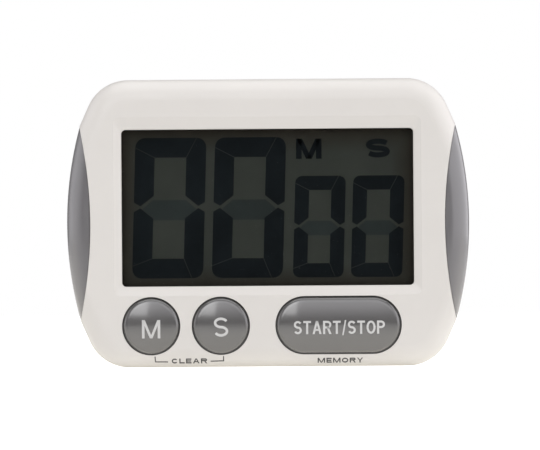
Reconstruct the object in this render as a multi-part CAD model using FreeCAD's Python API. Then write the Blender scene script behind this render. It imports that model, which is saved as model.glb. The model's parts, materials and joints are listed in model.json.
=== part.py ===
"""Hand-sized digital count-down timer: large LCD, three push buttons, grey side grips, folding stand.

Frame: +X to the right of the display, +Y from the display to the back, +Z up, in millimetres.
The origin is the middle of the base that the timer stands on.
Each function makes one sub-part where it sits in the closed timer.
"""

import FreeCAD, Part
import math
import os

V = FreeCAD.Vector

# ---------------------------------------------------------------- overall sizes
WIDTH = 98.0                # over the two grips
HEIGHT = 70.0
DEPTH = 22.0                # button tops to back face
CAP_PROUD = 0.8             # button tops above the front face
BACK_Y = DEPTH / 2
CAP_TOP_Y = -DEPTH / 2
FRONT_Y = CAP_TOP_Y + CAP_PROUD
MID_Z = HEIGHT / 2
PARTING_Y = 2.0             # joint between front and rear shell

# ---------------------------------------------------------------- casing
WALL = 1.8
FRONT_EDGE_RADIUS = 5.0
BACK_EDGE_RADIUS = 3.0
CORNER_RADIUS = 10.6
SHOULDER_ANGLE = math.radians(24.0)     # casing side at a grip's end, from upright
SEAM_WIDTH = 0.3            # fine groove round the casing where the shells meet
SEAM_DEPTH = 0.3
LIP_HEIGHT = 1.0            # rear shell's lip inside the front shell's rebate
LIP_CLEARANCE = 0.06
RIB_THICKNESS = 1.0

# ---------------------------------------------------------------- grips
GRIP_WIDTH = 5.97           # crescent's width at mid height
GRIP_HALF_LENGTH = 23.8     # mid height to a pointed end
GRIP_BULGE = 3.25           # how far the outer edge stands out between its ends
GRIP_GAP = 0.12
GRIP_INSET = 0.5            # grip below the shell's face beside it
GRIP_FRONT_ROUND = 5.6      # depth of the rounding towards the front
GRIP_BACK_ROUND = 3.6
RAIL_HALF_LENGTH = 15.0     # the grip's rail, clamped between the shells
RAIL_THICKNESS = 1.6
RAIL_HEAD_DEPTH = 1.0
RAIL_HEAD_OVERHANG = 0.7
RAIL_CLEARANCE = 0.1

# ---------------------------------------------------------------- window and display stack
WINDOW_WIDTH = 70.9
WINDOW_HEIGHT = 38.1
WINDOW_BOTTOM = 19.7
WINDOW_CORNER = 1.0
BEZEL_DEPTH = 0.7           # sloping border round the window
BEZEL_TOP = 3.0
BEZEL_SIDE = 1.9
BEZEL_BOTTOM = 2.3
BEZEL_CORNER = 1.4
LIP_BEVEL = 0.35            # small bevel round the window's edge, inside the sloping border
LENS_MARGIN = 1.45          # lens beyond the window, each side
LENS_THICKNESS = 1.5
GASKET_THICKNESS = 0.4
GASKET_WIDTH = 1.2
POLARISER_THICKNESS = 0.2
POLARISER_INSET = 0.5
GLASS_THICKNESS = 1.1
GLASS_HALF_WIDTH = 37.0
GLASS_LEDGE = 2.2           # front glass below the rear glass, for the contacts
REFLECTOR_THICKNESS = 0.25
FRAME_THICKNESS = 2.2       # behind the glass, where the board rests on it
FRAME_UPPER_THICKNESS = 1.4
FRAME_RIM = 0.8
FRAME_CLEARANCE = 0.1
FRAME_BAR = 3.0
ZEBRA_THICKNESS = 1.5
ZEBRA_HALF_LENGTH = 34.0
BOARD_THICKNESS = 1.2

WINDOW_TOP = WINDOW_BOTTOM + WINDOW_HEIGHT
LENS_Y = FRONT_Y + WALL
GASKET_Y = LENS_Y + LENS_THICKNESS
POLARISER_Y = GASKET_Y + GASKET_THICKNESS
FRONT_GLASS_Y = POLARISER_Y + POLARISER_THICKNESS
REAR_GLASS_Y = FRONT_GLASS_Y + GLASS_THICKNESS
REFLECTOR_Y = REAR_GLASS_Y + GLASS_THICKNESS
FRAME_Y = REFLECTOR_Y + REFLECTOR_THICKNESS
BOARD_Y = FRAME_Y + FRAME_THICKNESS
BOARD_BACK_Y = BOARD_Y + BOARD_THICKNESS
FRAME_UPPER_BACK_Y = FRAME_Y + FRAME_UPPER_THICKNESS
LENS_HALF_WIDTH = WINDOW_WIDTH / 2 + LENS_MARGIN
LENS_BOTTOM = WINDOW_BOTTOM - LENS_MARGIN
LENS_TOP = WINDOW_TOP + LENS_MARGIN
GLASS_BOTTOM = LENS_BOTTOM - 1.3
GLASS_TOP = LENS_TOP - 0.25
REAR_GLASS_BOTTOM = GLASS_BOTTOM + GLASS_LEDGE
FRAME_HALF_WIDTH = GLASS_HALF_WIDTH + FRAME_CLEARANCE + FRAME_RIM
FRAME_BOTTOM = GLASS_BOTTOM - FRAME_CLEARANCE - FRAME_RIM
FRAME_TOP = GLASS_TOP + FRAME_CLEARANCE + FRAME_RIM

# ---------------------------------------------------------------- circuit board and its screws
BOSS_RADIUS = 1.5           # bosses beside the display
BOSS_X = FRAME_HALF_WIDTH + BOSS_RADIUS + 0.1
BOARD_SCREW_Z = WINDOW_BOTTOM - 1.2
BOARD_TOP = WINDOW_BOTTOM + 14.3
BOARD_HALF_WIDTH = BOSS_X + BOSS_RADIUS - 0.1
BOARD_BOTTOM = 3.6
BOARD_NOTCH_TOP = 13.2      # the board is narrower below this, between the case screws
BOARD_NOTCH_GAP = 0.6       # from the narrow part to the bosses of the case screws
SMALL_SCREW_RADIUS = 0.7
SMALL_SCREW_LENGTH = 6.0
SMALL_HEAD_RADIUS = 1.25
SMALL_HEAD_HEIGHT = 0.65
HOLE_CLEARANCE = 0.15       # a screw in a hole that it passes through
THREAD_CLEARANCE = 0.03     # a screw in the hole that it grips

# ---------------------------------------------------------------- case screws and hooks
CASE_SCREW_OUT = 5.1            # from a lower corner's centre, outwards and downwards
CASE_SCREW_DOWN = 2.0
CASE_BOSS_RADIUS = 2.4
CASE_POST_RADIUS = 2.9
CASE_SCREW_RADIUS = 1.05
CASE_SCREW_LENGTH = 8.5
CASE_HEAD_RADIUS = 1.9
CASE_HEAD_HEIGHT = 1.4
CASE_HEAD_SEAT_Y = PARTING_Y + 2.0
COUNTERBORE_RADIUS = 2.1

HOOK_X = 12.0               # snap hooks along the top
HOOK_HALF_WIDTH = 3.0
HOOK_THICKNESS = 1.0
HOOK_REACH = 3.2            # from the joint into the front shell
HOOK_BARB = 0.6
HOOK_BARB_LENGTH = 1.0
HOOK_CLEARANCE = 0.1

# ---------------------------------------------------------------- buttons and keypad
BUTTON_Z = 10.1
MINUTES_X = -28.43
SECONDS_X = -11.51
START_X = 17.05
BUTTON_HOLE_RADIUS = 7.09
START_HALF_STRAIGHT = 8.26      # half distance between the end centres of the long button
BUTTON_GAP = 0.33
CAP_DOME_RADIUS = 5.6           # where the domed top turns into the rounded edge
CAP_DOME_DROP = 0.5
CAP_EDGE_DROP = 1.5
CAP_THICKNESS = 1.2
CAP_FLANGE_OUT = 0.85           # flange beyond the cap's side
CAP_FLANGE_THICKNESS = 0.9
CAP_FLANGE_GAP = 0.05
CAP_POCKET_CLEARANCE = 0.2      # round the flange, where it meets the casing's lower rounding
TRAVEL = 0.8
PLUNGER_RADIUS = 1.7
PLUNGER_GAP = 0.03
MAT_THICKNESS = 0.8
MAT_BOTTOM = 3.9
MAT_TOP = 14.9
MAT_MARGIN = 6.6                # mat beyond the outer button centres
DOME_BASE_RADIUS = 4.1
DOME_TOP_RADIUS = 2.4
DOME_HEIGHT = 3.3               # above the board
DOME_INSIDE_RADIUS = 1.9
PILL_RADIUS = 1.5
PILL_THICKNESS = 0.4
CENTRE_SCREW_X = -1.35          # board screw between the S and the long button
CENTRE_BOSS_RADIUS = 1.75

# ---------------------------------------------------------------- battery
CELL_RADIUS = 5.25          # size AAA
CELL_LENGTH = 44.5
CELL_NUB_RADIUS = 1.9
CELL_NUB_LENGTH = 0.9
CELL_BELOW_FRAME = 10.4     # cell's centre below the top of the display's frame
TRAY_CLEARANCE = 0.25
TRAY_WALL = 1.0
CONTACT_THICKNESS = 0.4
CONTACT_SIZE = 7.4
SPRING_DEPTH = 3.6
TAIL_WIDTH = 2.0
TAIL_TOP_DROP = 2.0         # where a tail starts, below the cell's centre
LEAF_HALF_HEIGHT = 3.6      # half height of the sprung leaf
TAIL_OVERLAP = 3.0          # how far the tails reach below the board's upper edge

# ---------------------------------------------------------------- battery door
DOOR_HALF_WIDTH = 26.0
DOOR_THICKNESS = 1.4
DOOR_BELOW_CELL = 7.4       # door's lower edge below the cell's centre
DOOR_TOP_LIP = 4.5          # how far the door reaches forward over the top
DOOR_CLEARANCE = 0.1
DECK_THICKNESS = 2.1        # casing under the door
DECK_BORDER = 2.4
TONGUE_STARTS = (2.0, 15.0)     # lower ends of the tongues, above the door's lower edge
TONGUE_OUT = 1.0            # tongues that run in the casing's grooves
TONGUE_THICKNESS = 0.85
TONGUE_LENGTH = 6.0
TONGUE_CLEARANCE = 0.15
THUMB_GROOVE_DROP = 1.5     # first groove below the door's rounded edge
THUMB_GROOVES = 5
THUMB_GROOVE_WIDTH = 0.8
THUMB_GROOVE_DEPTH = 0.5
THUMB_GROOVE_HALF_LENGTH = 7.0

# ---------------------------------------------------------------- stand
STAND_HALF_WIDTH = 15.0
STAND_FREE_Z = 4.6
STAND_THICKNESS = 2.0
STAND_PIVOT_Z = 37.0
STAND_PIVOT_DEPTH = 1.6     # pivot below the back face
STAND_BARREL_RADIUS = 1.1
STAND_PIN_RADIUS = 0.9
STAND_PIN_LENGTH = 1.5
STAND_PIN_CLEARANCE = 0.05
STAND_ANGLE = math.radians(35.0)
STAND_STOP_REACH = 1.6      # pivot to the corner that stops the stand
STAND_STOP_GAP = 0.05
STAND_SIDE_GAP = 0.3
STAND_PIN_ROOT = 1.0        # pin inside the flap
STAND_ROUND_OFF = 0.8       # outer edge at the pivot
STAND_RIB_PLACE = 0.55      # rib's place, as a share of the half width
STAND_RIB_MARGIN = 4.0      # rib's ends from the free edge and from the pivot
STAND_RIB_GAP = 0.2         # folded flap's rib to the recess
NOTCH_DROP = 1.5            # finger notch's centre below the free edge
RECESS_DEPTH = 2.8
RECESS_WALL = 1.1
RECESS_SIDE_WALL = 2.0
NOTCH_RADIUS = 5.0

# ---------------------------------------------------------------- magnets and buzzer
MAGNET_X = 35.0
MAGNET_BELOW_TOP = 20.0
MAGNET_RADIUS = 5.0
MAGNET_THICKNESS = 1.0
MAGNET_CLEARANCE = 0.05
BUZZER_X = 30.3
BUZZER_Z = 22.0
BUZZER_RADIUS = 9.6
BUZZER_THICKNESS = 0.2
BUZZER_SEAT = 0.8           # height of the ring that the disc is glued to
BUZZER_SEAT_OUT = 0.8       # ring beyond the disc
BUZZER_SEAT_IN = 1.2        # ring under the disc
CERAMIC_RADIUS = 6.5
CERAMIC_THICKNESS = 0.2
BUZZER_CONTACT_THICKNESS = 0.25
BUZZER_CONTACT_WIDTH = 1.6
BUZZER_CONTACT_PLACES = (-CERAMIC_RADIUS - 1.3, -2.0)   # on the disc's rim and on the ceramic
BUZZER_CONTACT_FOOT = (2.0, 5.0)        # flat foot on the board, above the disc's centre
BUZZER_CONTACT_TOE = (-3.0, -1.5)       # flat end on the disc

# ---------------------------------------------------------------- parts on the board's back
BLOB_RADIUS = 5.2
BLOB_HEIGHT = 1.4
BLOB_X = -4.0
BLOB_Z = 24.0
CRYSTAL_RADIUS = 1.0
CRYSTAL_LENGTH = 6.0
CRYSTAL_X = -19.0
CRYSTAL_Z = 27.5
LEAD_OFFSET = 0.4           # lead's centre from the crystal's axis
LEAD_THICKNESS = 0.24
LEAD_REACH = 1.6
LEAD_HEIGHT = 0.5           # above the board
LEAD_FOOT = 0.6
CHIP_LENGTH = 2.0
CHIP_HEIGHT = 0.6
CHIP_WIDTH = 1.2
CHIP_PLACES = [(-12.0, 20.0), (-12.0, 22.5), (6.0, 20.5), (6.0, 23.0), (6.0, 25.5), (13.0, 29.0)]
SOUND_SLOTS = 5
SOUND_SLOT_PITCH = 2.2
SOUND_SLOT_HEIGHT = 0.9
SOUND_SLOT_HALF_LENGTH = 4.5

FAR = 60.0                  # longer than anything, for cutting tools
BITE = 0.3                  # how far a form reaches into the one that it is joined to

# ---------------------------------------------------------------- derived places
GRIP_INNER_X = WIDTH / 2 - GRIP_WIDTH
GRIP_END_X = WIDTH / 2 - GRIP_BULGE
GRIP_RADIUS = (GRIP_HALF_LENGTH ** 2 + GRIP_BULGE ** 2) / (2 * GRIP_BULGE)
GRIP_CENTRE_X = WIDTH / 2 - GRIP_RADIUS
SCALLOP_RISE = GRIP_END_X - GRIP_INNER_X
SCALLOP_RADIUS = (GRIP_HALF_LENGTH ** 2 + SCALLOP_RISE ** 2) / (2 * SCALLOP_RISE)
SCALLOP_CENTRE_X = GRIP_INNER_X + SCALLOP_RADIUS
SIDE_RADIUS = GRIP_HALF_LENGTH / math.sin(SHOULDER_ANGLE)
SIDE_CENTRE_X = GRIP_END_X - SIDE_RADIUS * math.cos(SHOULDER_ANGLE)
CORNER_DZ = HEIGHT / 2 - CORNER_RADIUS
CORNER_X = (SIDE_CENTRE_X
            + (SIDE_RADIUS - CORNER_RADIUS - CORNER_DZ * math.sin(SHOULDER_ANGLE)) / math.cos(SHOULDER_ANGLE))
CASE_SCREWS = [(sx * (CORNER_X + CASE_SCREW_OUT), CORNER_RADIUS - CASE_SCREW_DOWN) for sx in (-1, 1)]
BOARD_SCREWS = [(sx * BOSS_X, BOARD_SCREW_Z) for sx in (-1, 1)]
BOARD_NOTCH_HALF_WIDTH = CASE_SCREWS[1][0] - CASE_BOSS_RADIUS - BOARD_NOTCH_GAP
CAP_RADIUS = BUTTON_HOLE_RADIUS - BUTTON_GAP
FLANGE_Y = LENS_Y + CAP_FLANGE_GAP
DOME_TOP_Y = BOARD_Y - DOME_HEIGHT
PILL_BACK_Y = BOARD_Y - TRAVEL - 0.05
DOMES = (MINUTES_X, SECONDS_X, START_X)
CELL_Z = FRAME_TOP - CELL_BELOW_FRAME
DOOR_GAP_Y = BACK_Y - DOOR_THICKNESS - DOOR_CLEARANCE       # casing's face under the door
CELL_Y = DOOR_GAP_Y - 0.1 - CELL_RADIUS
TRAY_RADIUS = CELL_RADIUS + TRAY_CLEARANCE
TRAY_HALF_LENGTH = (CELL_LENGTH + CONTACT_THICKNESS + SPRING_DEPTH) / 2
DOOR_BOTTOM = CELL_Z - DOOR_BELOW_CELL
DOOR_FRONT_Y = BACK_Y - DOOR_TOP_LIP
STAND_PIVOT_Y = BACK_Y - STAND_PIVOT_DEPTH
RECESS_Y = BACK_Y - RECESS_DEPTH
RECESS_TOP = STAND_PIVOT_Z + STAND_STOP_REACH + 0.7
RECESS_BOTTOM = STAND_FREE_Z - STAND_SIDE_GAP
MAGNET_Z = HEIGHT - MAGNET_BELOW_TOP
BACK_WALL_Y = BACK_Y - WALL
BUZZER_Y = BACK_WALL_Y - BUZZER_SEAT - BUZZER_THICKNESS


# ---------------------------------------------------------------- shape helpers
def box(x, y, z):
    """Block between two values on each axis."""
    return Part.makeBox(x[1] - x[0], y[1] - y[0], z[1] - z[0], V(x[0], y[0], z[0]))


def rod(x, z, radius, y):
    """Cylinder along Y between two values of y."""
    return Part.makeCylinder(radius, y[1] - y[0], V(x, y[0], z), V(0, 1, 0))


def path_wire(start, steps):
    """Wire from a start point: a step is an end point, or a middle and an end point of an arc."""
    edges = []
    here = start
    for step in steps:
        there = step[-1]
        if len(step) == 1:
            edges.append(Part.makeLine(here, there))
        else:
            edges.append(Part.Arc(here, step[0], there).toShape())
        here = there
    return Part.Wire(edges)


def joined(first, others):
    """One solid from several that touch or cross."""
    return first.fuse(others).removeSplitter()


def ring_plate(half_width, z, y, border):
    """Rectangular ring with a border of one width."""
    outer = box((-half_width, half_width), y, z)
    inner = box((-half_width + border, half_width - border), y, (z[0] + border, z[1] - border))
    return outer.cut(inner)


def rounded_rectangle(half_width, z, y, radius):
    """Wire of a rectangle with round corners, in the plane at y."""
    low, high = z
    k = radius * (1 - math.sqrt(0.5))
    left, right = -half_width, half_width
    return path_wire(V(left + radius, y, high), [
        (V(right - radius, y, high),),
        (V(right - k, y, high - k), V(right, y, high - radius)),
        (V(right, y, low + radius),),
        (V(right - k, y, low + k), V(right - radius, y, low)),
        (V(left + radius, y, low),),
        (V(left + k, y, low + k), V(left, y, low + radius)),
        (V(left, y, high - radius),),
        (V(left + k, y, high - k), V(left + radius, y, high)),
    ])


def stadium(x, half_straight, radius, y):
    """Upright slice of a round or long round button at BUTTON_Z."""
    slab = rod(x - half_straight, BUTTON_Z, radius, y)
    if half_straight == 0:
        return slab
    middle = box((x - half_straight, x + half_straight), y, (BUTTON_Z - radius, BUTTON_Z + radius))
    return joined(slab, [middle, rod(x + half_straight, BUTTON_Z, radius, y)])


# ---------------------------------------------------------------- casing form
def casing_outline(inset):
    """Outline of the casing without its side scallops, moved inward by inset."""
    corner = CORNER_RADIUS - inset
    side = SIDE_RADIUS - inset

    def at(sx, sz, x, dz):
        return V(sx * x, 0, MID_Z + sz * dz)

    def on_corner(sx, sz, angle):
        return at(sx, sz, CORNER_X + corner * math.cos(angle), CORNER_DZ + corner * math.sin(angle))

    def side_end(sx, sz):
        return at(sx, sz, SIDE_CENTRE_X + side * math.cos(SHOULDER_ANGLE), side * math.sin(SHOULDER_ANGLE))

    half_way = (SHOULDER_ANGLE + math.pi / 2) / 2
    upright = math.pi / 2
    steps = []
    for sx in (1, -1):
        steps += [
            (on_corner(sx, sx, upright),),
            (on_corner(sx, sx, half_way), on_corner(sx, sx, SHOULDER_ANGLE)),
            (side_end(sx, sx),),
            (at(sx, sx, SIDE_CENTRE_X + side, 0), side_end(sx, -sx)),
            (on_corner(sx, -sx, SHOULDER_ANGLE),),
            (on_corner(sx, -sx, half_way), on_corner(sx, -sx, upright)),
        ]
    return path_wire(on_corner(-1, 1, upright), steps)


def outline_slab(inset, y):
    """The outline's full area between two values of y."""
    face = Part.Face(casing_outline(inset))
    face.translate(V(0, y[0], 0))
    return face.extrude(V(0, y[1] - y[0], 0))


def edges_at(solid, y):
    """Edges that lie in the plane at y."""
    return [e for e in solid.Edges if abs(e.BoundBox.YMin - y) < 1e-6 and abs(e.BoundBox.YMax - y) < 1e-6]


def scallop(side, inset):
    """Cylinder that hollows out a side of the casing for a grip, grown by inset."""
    return rod(side * SCALLOP_CENTRE_X, MID_Z, SCALLOP_RADIUS + inset, (-FAR, FAR))


def casing(inset, round_back=True):
    """Solid form of the closed casing, moved inward by inset on every side."""
    front = FRONT_Y + inset
    back = BACK_Y - inset
    solid = outline_slab(inset, (front, back))
    solid = solid.makeFillet(FRONT_EDGE_RADIUS - inset, edges_at(solid, front))
    if round_back:
        solid = solid.makeFillet(BACK_EDGE_RADIUS - inset, edges_at(solid, back))
    return solid.cut([scallop(-1, inset), scallop(1, inset)])


def lip_band(outer_inset, inner_inset, y):
    """Band inside the wall for the shells' lip, which ends before the grips."""
    band = outline_slab(outer_inset, y).cut(outline_slab(inner_inset, y))
    return band.cut([scallop(side, WALL + RAIL_HEAD_DEPTH) for side in (-1, 1)])


def seam():
    """Groove round the outside of the rear shell's rim, where the shells meet."""
    y = (PARTING_Y, PARTING_Y + SEAM_WIDTH)
    return outline_slab(-1.0, y).cut(outline_slab(SEAM_DEPTH, y))


def rail(side, clearance):
    """A grip's rail with its head, grown by clearance to make the slot for it."""
    half = RAIL_HALF_LENGTH + clearance
    web = RAIL_THICKNESS / 2 + clearance
    head = web + RAIL_HEAD_OVERHANG
    head_start = WALL + RAIL_CLEARANCE - clearance
    head_end = WALL + RAIL_CLEARANCE + RAIL_HEAD_DEPTH
    x = (min(0, side * FAR), max(0, side * FAR))
    z = (MID_Z - half, MID_Z + half)
    web_slab = box(x, (PARTING_Y - web, PARTING_Y + web), z)
    head_slab = box(x, (PARTING_Y - head, PARTING_Y + head), z)
    web_part = web_slab.common(scallop(side, head_end)).cut(scallop(side, -GRIP_GAP - clearance))
    head_part = head_slab.common(scallop(side, head_end)).cut(scallop(side, head_start))
    return joined(web_part, [head_part])


def case_posts(radius, y):
    """Round posts at the case screws, kept inside the casing's wall."""
    return [rod(x, z, radius, y).common(casing(WALL / 2)) for x, z in CASE_SCREWS]


# ---------------------------------------------------------------- casing parts
def window_cut():
    """Opening with its sloping border."""
    half = WINDOW_WIDTH / 2
    lip_y = FRONT_Y + BEZEL_DEPTH
    window = rounded_rectangle(half, (WINDOW_BOTTOM, WINDOW_TOP), lip_y, WINDOW_CORNER)
    border = rounded_rectangle(half + BEZEL_SIDE, (WINDOW_BOTTOM - BEZEL_BOTTOM, WINDOW_TOP + BEZEL_TOP),
                               FRONT_Y, BEZEL_CORNER)
    slope = Part.makeLoft([border, window], True, True)
    opening = Part.Face(window).extrude(V(0, WALL, 0))
    reach = LIP_BEVEL / 2
    wide = rounded_rectangle(half + reach, (WINDOW_BOTTOM - reach, WINDOW_TOP + reach), lip_y - reach,
                             WINDOW_CORNER)
    narrow = rounded_rectangle(half, (WINDOW_BOTTOM, WINDOW_TOP), lip_y + reach, WINDOW_CORNER)
    return joined(slope, [opening, Part.makeLoft([wide, narrow], True, True)])


def button_hole(x, half_straight):
    """Hole for a button, with a wider pocket behind it for the cap's flange."""
    hole = stadium(x, half_straight, BUTTON_HOLE_RADIUS, (FRONT_Y, LENS_Y + WALL))
    pocket_radius = CAP_RADIUS + CAP_FLANGE_OUT + CAP_POCKET_CLEARANCE
    pocket_y = (LENS_Y, FLANGE_Y + CAP_FLANGE_THICKNESS + TRAVEL + CAP_POCKET_CLEARANCE)
    return [hole, stadium(x, half_straight, pocket_radius, pocket_y)]


def front_shell():
    front = box((-FAR, FAR), (-FAR, PARTING_Y), (-FAR, 2 * FAR))
    shell = casing(0).cut(casing(WALL, round_back=False)).common(front)
    wall_y = FRONT_Y + WALL / 2
    posts = case_posts(CASE_BOSS_RADIUS, (wall_y, PARTING_Y - 0.1))
    posts += [rod(x, z, BOSS_RADIUS, (wall_y, FRAME_Y)) for x, z in BOARD_SCREWS]
    posts.append(rod(CENTRE_SCREW_X, BUTTON_Z, CENTRE_BOSS_RADIUS, (wall_y, BOARD_Y)))
    rib_z = (FRAME_TOP + FRAME_CLEARANCE, HEIGHT - WALL / 2)
    catch_front = FRAME_UPPER_BACK_Y + FRAME_CLEARANCE
    catch_y = (catch_front, catch_front + RIB_THICKNESS)
    for x in (-WINDOW_WIDTH / 3, 0, WINDOW_WIDTH / 3):
        thick = (x - RIB_THICKNESS / 2, x + RIB_THICKNESS / 2)
        rib = box(thick, (wall_y, catch_y[1]), rib_z)
        posts.append(rib.common(casing(WALL / 2)))
        posts.append(box(thick, catch_y, (FRAME_TOP - FRAME_RIM, rib_z[0] + RIB_THICKNESS)))
    shell = joined(shell, posts)
    pilot = SMALL_SCREW_RADIUS + THREAD_CLEARANCE
    deep = FRONT_Y + WALL
    holes = [window_cut()]
    for x, half_straight in ((MINUTES_X, 0), (SECONDS_X, 0), (START_X, START_HALF_STRAIGHT)):
        holes += button_hole(x, half_straight)
    holes += [rod(x, z, pilot, (deep, FRAME_Y)) for x, z in BOARD_SCREWS]
    holes.append(rod(CENTRE_SCREW_X, BUTTON_Z, pilot, (deep, BOARD_Y)))
    holes += [rod(x, z, CASE_SCREW_RADIUS + THREAD_CLEARANCE, (deep, PARTING_Y)) for x, z in CASE_SCREWS]
    holes += [rail(side, RAIL_CLEARANCE) for side in (-1, 1)]
    rebate_y = (PARTING_Y - LIP_HEIGHT - LIP_CLEARANCE, PARTING_Y)
    holes.append(lip_band(WALL / 2, WALL, rebate_y))
    holes += hooks(HOOK_CLEARANCE)
    return shell.cut(holes)


def hooks(clearance):
    """Snap hooks of the rear shell, or with a clearance the pockets that their barbs catch in."""
    top = HEIGHT - WALL - HOOK_CLEARANCE
    tip = PARTING_Y - HOOK_REACH
    solids = []
    for side in (-1, 1):
        x = (side * HOOK_X - HOOK_HALF_WIDTH - clearance, side * HOOK_X + HOOK_HALF_WIDTH + clearance)
        barb_y = (tip - clearance, tip + HOOK_BARB_LENGTH + clearance)
        barb = box(x, barb_y, (top - HOOK_THICKNESS, top + HOOK_BARB + clearance))
        arm = box(x, (tip, PARTING_Y + WALL), (top - HOOK_THICKNESS, top))
        root = box(x, (PARTING_Y, PARTING_Y + WALL), (top - HOOK_THICKNESS, top + BITE))
        solids.append(barb if clearance else joined(arm, [barb, root]))
    return solids


def back_edge_band(near, far, bottom, front, half_width):
    """Bar that follows the casing's back, upper back edge and top, between two depths below the surface."""
    edge_y = BACK_Y - BACK_EDGE_RADIUS
    edge_z = HEIGHT - BACK_EDGE_RADIUS

    def corner(depth):
        radius = BACK_EDGE_RADIUS - depth
        if radius <= 0:
            return [(V(0, BACK_Y - depth, HEIGHT - depth),)]
        k = radius * math.sqrt(0.5)
        return [(V(0, edge_y + radius, edge_z),),
                (V(0, edge_y + k, edge_z + k), V(0, edge_y, edge_z + radius))]

    outward = corner(near) + [(V(0, front, HEIGHT - near),), (V(0, front, HEIGHT - far),)]
    radius = BACK_EDGE_RADIUS - far
    if radius > 0:
        k = radius * math.sqrt(0.5)
        inward = [(V(0, edge_y, edge_z + radius),),
                  (V(0, edge_y + k, edge_z + k), V(0, edge_y + radius, edge_z))]
    else:
        inward = corner(far)
    closing = [(V(0, BACK_Y - far, bottom),), (V(0, BACK_Y - near, bottom),)]
    wire = path_wire(V(0, BACK_Y - near, bottom), outward + inward + closing)
    bar = Part.Face(wire).extrude(V(2 * half_width, 0, 0))
    bar.translate(V(-half_width, 0, 0))
    return bar


def battery_tray():
    """Trough for the cell, open to the back: outer form and hollow."""
    outer_radius = TRAY_RADIUS + TRAY_WALL
    outer_half = TRAY_HALF_LENGTH + TRAY_WALL
    forms = []
    sizes = ((outer_half, outer_radius, BACK_WALL_Y), (TRAY_HALF_LENGTH, TRAY_RADIUS, BACK_Y))
    for half, radius, back in sizes:
        trough = Part.makeCylinder(radius, 2 * half, V(-half, CELL_Y, CELL_Z), V(1, 0, 0))
        walls = box((-half, half), (CELL_Y, back), (CELL_Z - radius, CELL_Z + radius))
        forms.append(joined(trough, [walls]))
    return forms


def contact_slots():
    """Slots in the tray's lower wall for the contacts' tails."""
    slots = []
    for x in (-TRAY_HALF_LENGTH, TRAY_HALF_LENGTH - CONTACT_THICKNESS):
        slots.append(box((x - 0.05, x + CONTACT_THICKNESS + 0.05), tail_span(0.1),
                         (CELL_Z - TRAY_RADIUS - 2 * TRAY_WALL, CELL_Z - TAIL_TOP_DROP)))
    return slots


def tail_span(clearance):
    """Range of y that a contact's tail takes."""
    middle = CELL_Y - TRAY_RADIUS / 2
    return (middle - TAIL_WIDTH / 2 - clearance, middle + TAIL_WIDTH / 2 + clearance)


def rear_shell():
    back = box((-FAR, FAR), (PARTING_Y, FAR), (-FAR, 2 * FAR))
    shell = casing(0).cut(casing(WALL, round_back=False)).common(back)
    tray_form, tray_hollow = battery_tray()
    deck_depth = DOOR_THICKNESS + DOOR_CLEARANCE
    deck = back_edge_band(deck_depth, deck_depth + DECK_THICKNESS, DOOR_BOTTOM - WALL,
                          DOOR_FRONT_Y - WALL, DOOR_HALF_WIDTH + DECK_BORDER)
    recess_half = STAND_HALF_WIDTH + STAND_SIDE_GAP
    recess_x = (-recess_half - RECESS_SIDE_WALL, recess_half + RECESS_SIDE_WALL)
    recess_z = (RECESS_BOTTOM - RECESS_SIDE_WALL, RECESS_TOP + RECESS_SIDE_WALL)
    pan = box(recess_x, (RECESS_Y - RECESS_WALL, BACK_WALL_Y + BITE), recess_z)
    lip_y = (PARTING_Y - LIP_HEIGHT, PARTING_Y + 0.5)
    added = [tray_form, deck, pan, lip_band(WALL / 2 + LIP_CLEARANCE, WALL + 0.4, lip_y)]
    added += case_posts(CASE_POST_RADIUS, (PARTING_Y, BACK_Y - WALL / 2)) + hooks(0)
    seat_y = (BUZZER_Y + BUZZER_THICKNESS, BACK_WALL_Y + BITE)
    seat = rod(BUZZER_X, BUZZER_Z, BUZZER_RADIUS + BUZZER_SEAT_OUT, seat_y)
    added.append(seat.cut(rod(BUZZER_X, BUZZER_Z, BUZZER_RADIUS - BUZZER_SEAT_IN, (seat_y[0], BACK_WALL_Y))))
    shell = joined(shell, added)

    holes = [tray_hollow, seam()] + contact_slots()
    holes.append(back_edge_band(-1.0, deck_depth, DOOR_BOTTOM - DOOR_CLEARANCE,
                                DOOR_FRONT_Y - DOOR_CLEARANCE, DOOR_HALF_WIDTH + DOOR_CLEARANCE))
    groove_y = (DOOR_GAP_Y - TONGUE_THICKNESS - 2 * TONGUE_CLEARANCE, DOOR_GAP_Y)
    groove_half = TONGUE_OUT + TONGUE_CLEARANCE
    groove_x = (DOOR_HALF_WIDTH - groove_half, DOOR_HALF_WIDTH + groove_half)
    groove_z = (tongue_starts()[0] - DOOR_CLEARANCE, HEIGHT + 1.0)
    for side in (-1, 1):
        x = sorted(side * value for value in groove_x)
        holes.append(box(x, groove_y, groove_z))
        magnet_y = (BACK_Y - MAGNET_THICKNESS, FAR)
        holes.append(rod(side * MAGNET_X, MAGNET_Z, MAGNET_RADIUS + MAGNET_CLEARANCE, magnet_y))
        holes.append(rail(side, RAIL_CLEARANCE))
    holes.append(box((-recess_half, recess_half), (RECESS_Y, FAR), (RECESS_BOTTOM, RECESS_TOP)))
    holes.append(stand_pins(STAND_PIN_CLEARANCE))
    for x, z in CASE_SCREWS:
        holes.append(rod(x, z, COUNTERBORE_RADIUS, (CASE_HEAD_SEAT_Y, FAR)))
        holes.append(rod(x, z, CASE_SCREW_RADIUS + HOLE_CLEARANCE, (-FAR, FAR)))
    holes += sound_slots()
    return shell.cut(holes)


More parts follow.
